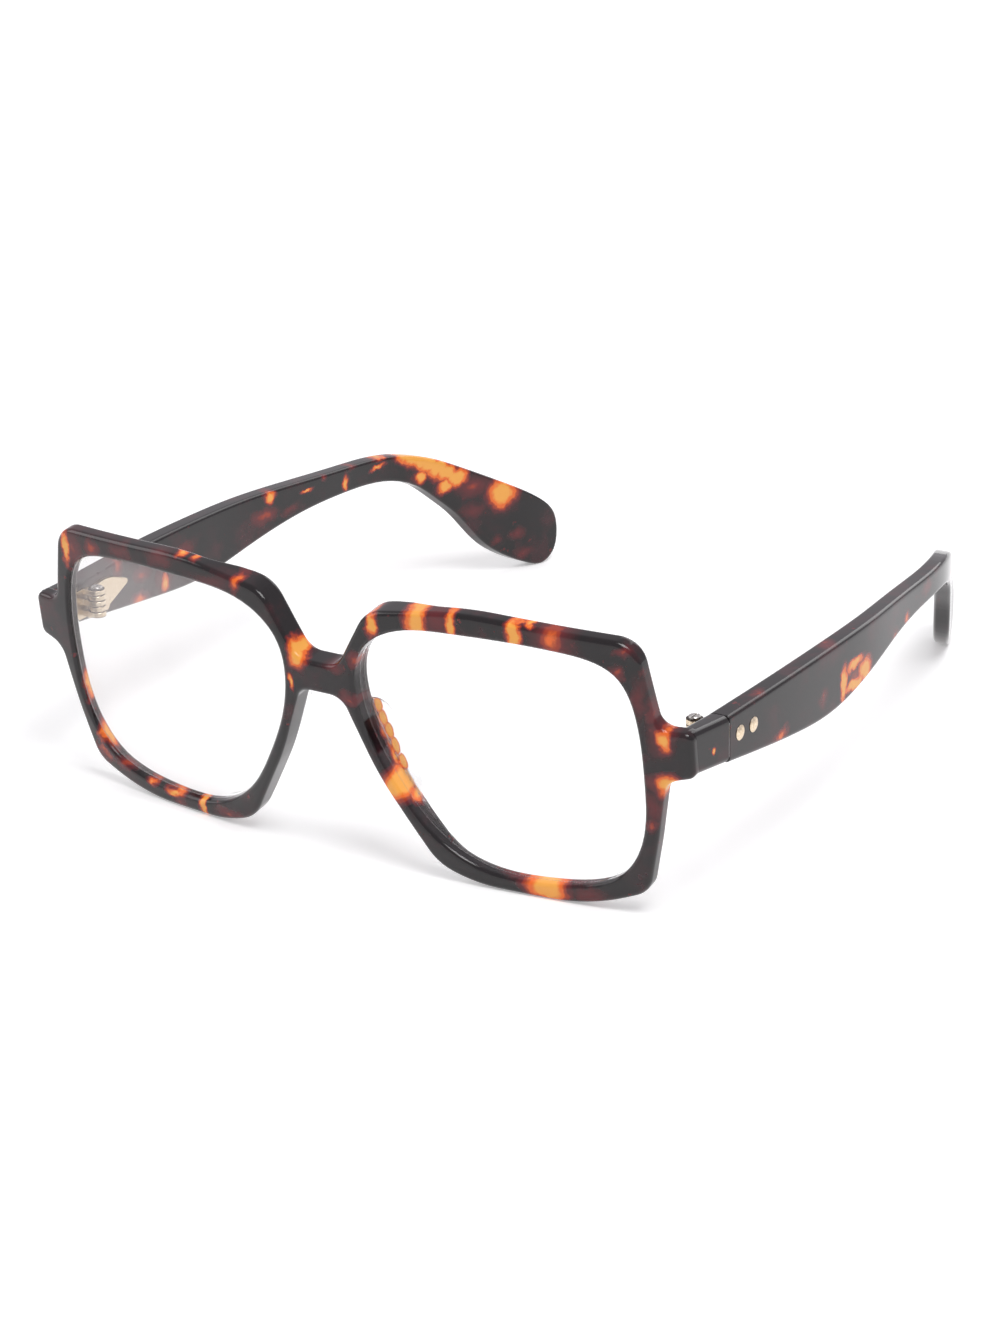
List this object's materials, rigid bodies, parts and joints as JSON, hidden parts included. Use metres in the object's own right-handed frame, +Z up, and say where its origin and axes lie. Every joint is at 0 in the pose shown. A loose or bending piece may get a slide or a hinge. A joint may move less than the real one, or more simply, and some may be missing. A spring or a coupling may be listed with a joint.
{
  "type": "eyeglasses_frame",
  "caption": "Bold square acetate eyeglasses frame in dark tortoiseshell with clear lenses, clear nose pads and pale gold barrel hinges; both temples fold.",
  "frame": {"origin": "on the ground under the middle of the open, standing frame", "axes": "+Z up, the front faces -Y and the temples run back to +Y, +X is the wearer's left"},
  "size_m": [0.144, 0.1582, 0.0543],
  "materials": {
    "tortoise_acetate": "polished tortoiseshell, near-black brown with amber patches",
    "clear_acetate": "clear, polished",
    "clear_lens": "clear demonstration lens",
    "hinge_metal": "pale gold plating",
    "screw_metal": "pale gold plating",
    "core_wire": "drawn nickel silver wire"
  },
  "bodies": {
    "front": {"front": "tortoise_acetate", "lens_left": "clear_lens", "lens_right": "clear_lens", "nose_pad_left": "clear_acetate", "nose_pad_right": "clear_acetate", "end_block_left": "tortoise_acetate", "end_block_right": "tortoise_acetate", "front_hinge_leaf_left": "hinge_metal", "front_hinge_leaf_right": "hinge_metal", "hinge_screw_left": "screw_metal", "hinge_screw_right": "screw_metal"},
    "temple_left": {"temple_left": "tortoise_acetate", "temple_core_left": "core_wire", "temple_rivets_left": "hinge_metal", "temple_hinge_leaf_left": "hinge_metal"},
    "temple_right": {"temple_right": "tortoise_acetate", "temple_core_right": "core_wire", "temple_rivets_right": "hinge_metal", "temple_hinge_leaf_right": "hinge_metal"}
  },
  "joints": [
    {"name": "hinge_left", "type": "hinge", "parent": "front", "child": "temple_left", "pos_m": [0.0642, -0.05897, 0.03251], "axis": [0, 0, 1], "range_deg": [0, 85]},
    {"name": "hinge_right", "type": "hinge", "parent": "front", "child": "temple_right", "pos_m": [-0.0642, -0.05897, 0.03251], "axis": [0, 0, -1], "range_deg": [0, 77]}
  ]
}
